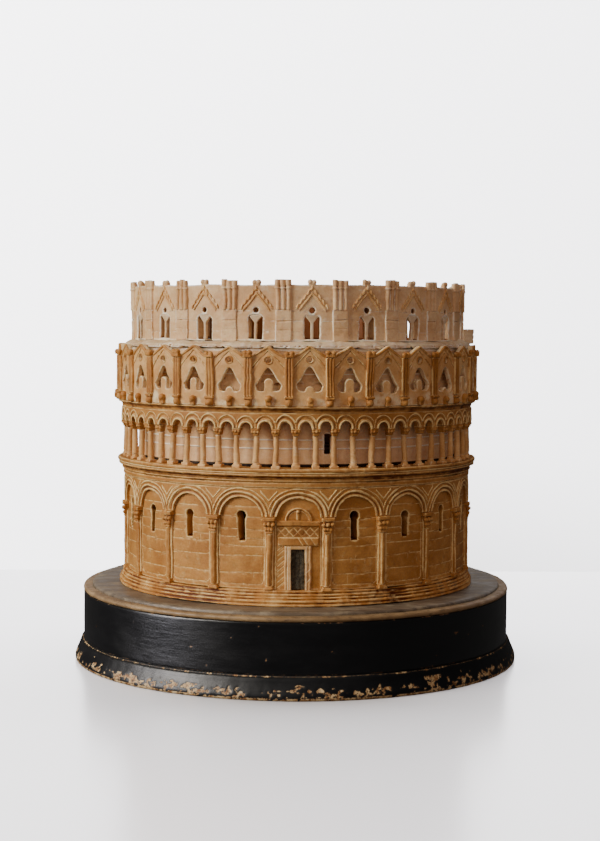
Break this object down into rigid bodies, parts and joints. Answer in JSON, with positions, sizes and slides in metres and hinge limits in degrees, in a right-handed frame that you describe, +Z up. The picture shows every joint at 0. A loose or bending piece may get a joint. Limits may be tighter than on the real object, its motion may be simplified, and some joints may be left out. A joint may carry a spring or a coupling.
{
  "type": "miniature landmark model",
  "caption": "Round arcaded building in carved alabaster with lift-off tiers, open at the top, on a turned black plinth.",
  "frame": {"origin": "centre of the plinth's underside", "axes": "+Z up through the tiers; -Y out of the front doorway; +X to the right as the door is faced"},
  "size_m": [0.2632, 0.2632, 0.2221],
  "materials": {
    "ebonised_wood": "satin black stain, chipped and worn to the ground along the foot",
    "worn_gilt_wood": "worn cream and gold paint on wood",
    "bare_wood": "worn grey-brown wood",
    "honey_alabaster": "hand-carved honey alabaster, cream along cut edges",
    "pale_alabaster": "hand-carved pale alabaster",
    "door_panel": "dark rough panel"
  },
  "bodies": {
    "plinth": {"plinth_foot_board": "ebonised_wood", "plinth_drum": "ebonised_wood", "plinth_bead": "worn_gilt_wood", "plinth_top_board": "bare_wood"},
    "lower_storey": {"lower_steps": "honey_alabaster", "lower_wall": "honey_alabaster", "blind_arcade": "honey_alabaster", "lower_frieze": "honey_alabaster", "lower_column_bases": "honey_alabaster", "lower_column_shafts": "honey_alabaster", "lower_column_capitals": "honey_alabaster", "lower_archivolts": "honey_alabaster", "spandrel_chevrons": "honey_alabaster", "portal_frames": "honey_alabaster", "portal_lintels": "honey_alabaster", "portal_lunettes": "honey_alabaster", "door_leaves": "door_panel", "lower_cornice": "honey_alabaster"},
    "gallery_ring": {"gallery_sill": "honey_alabaster", "gallery_column_bases": "honey_alabaster", "gallery_column_shafts": "honey_alabaster", "gallery_column_capitals": "honey_alabaster", "gallery_arcade": "honey_alabaster", "gallery_archivolts": "honey_alabaster", "gallery_cornice": "honey_alabaster", "gable_wall": "honey_alabaster", "gable_mouldings": "honey_alabaster", "gable_eye_rings": "honey_alabaster", "gable_knobs": "honey_alabaster", "pinnacle_feet": "honey_alabaster", "pinnacle_shafts": "honey_alabaster", "pinnacle_heads": "honey_alabaster"},
    "upper_drum": {"inner_drum_wall": "pale_alabaster", "inner_drum_bands": "pale_alabaster", "drum_backing": "pale_alabaster", "terrace_ledge": "pale_alabaster", "terrace_block": "pale_alabaster", "upper_wall": "pale_alabaster", "upper_window_tracery": "pale_alabaster", "upper_gable_mouldings": "pale_alabaster", "pier_blocks": "pale_alabaster", "pier_shafts": "pale_alabaster", "apex_stubs": "pale_alabaster"}
  },
  "joints": [
    {"name": "storey_lift", "type": "slide", "parent": "plinth", "child": "lower_storey", "axis": [0, 0, 1], "range_m": [0, 0.03]},
    {"name": "gallery_lift", "type": "slide", "parent": "lower_storey", "child": "gallery_ring", "axis": [0, 0, 1], "range_m": [0, 0.03]},
    {"name": "drum_lift", "type": "slide", "parent": "gallery_ring", "child": "upper_drum", "axis": [0, 0, 1], "range_m": [0, 0.08]}
  ]
}
